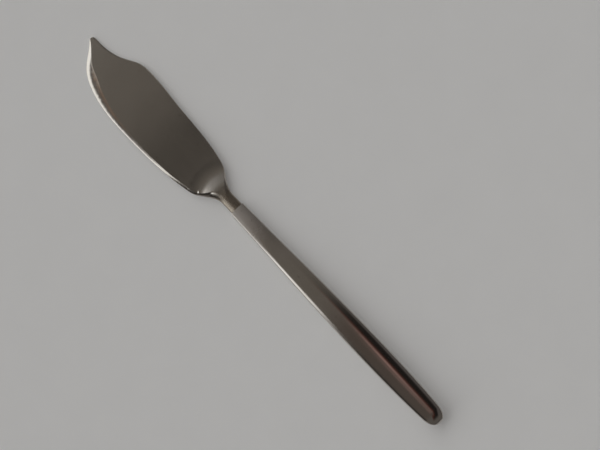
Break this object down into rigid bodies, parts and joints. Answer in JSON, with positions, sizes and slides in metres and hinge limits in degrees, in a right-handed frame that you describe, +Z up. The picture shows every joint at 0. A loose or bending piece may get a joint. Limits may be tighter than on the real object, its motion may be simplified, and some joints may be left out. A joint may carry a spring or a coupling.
{
  "type": "fish knife",
  "caption": "Steel fish knife lying flat: broad blunt blade with upturned tip and humped spine, oval neck, and a tapered hollow handle of brazed half shells.",
  "frame": {"origin": "centre of the knife's footprint on the surface it lies on", "axes": "+X along the knife towards the end of the handle, +Y towards the spine of the blade, +Z up from the surface"},
  "size_m": [0.205, 0.0244, 0.0069],
  "materials": {
    "blade_steel": "satin polished stainless steel",
    "handle_steel": "polished stainless steel",
    "braze": "polished flush silver braze",
    "cement": "set grey cement"
  },
  "bodies": {
    "root": {"blade": "blade_steel", "handle_front_shell": "handle_steel", "handle_back_shell": "handle_steel", "seam_braze": "braze", "tang_cement": "cement"}
  },
  "joints": []
}
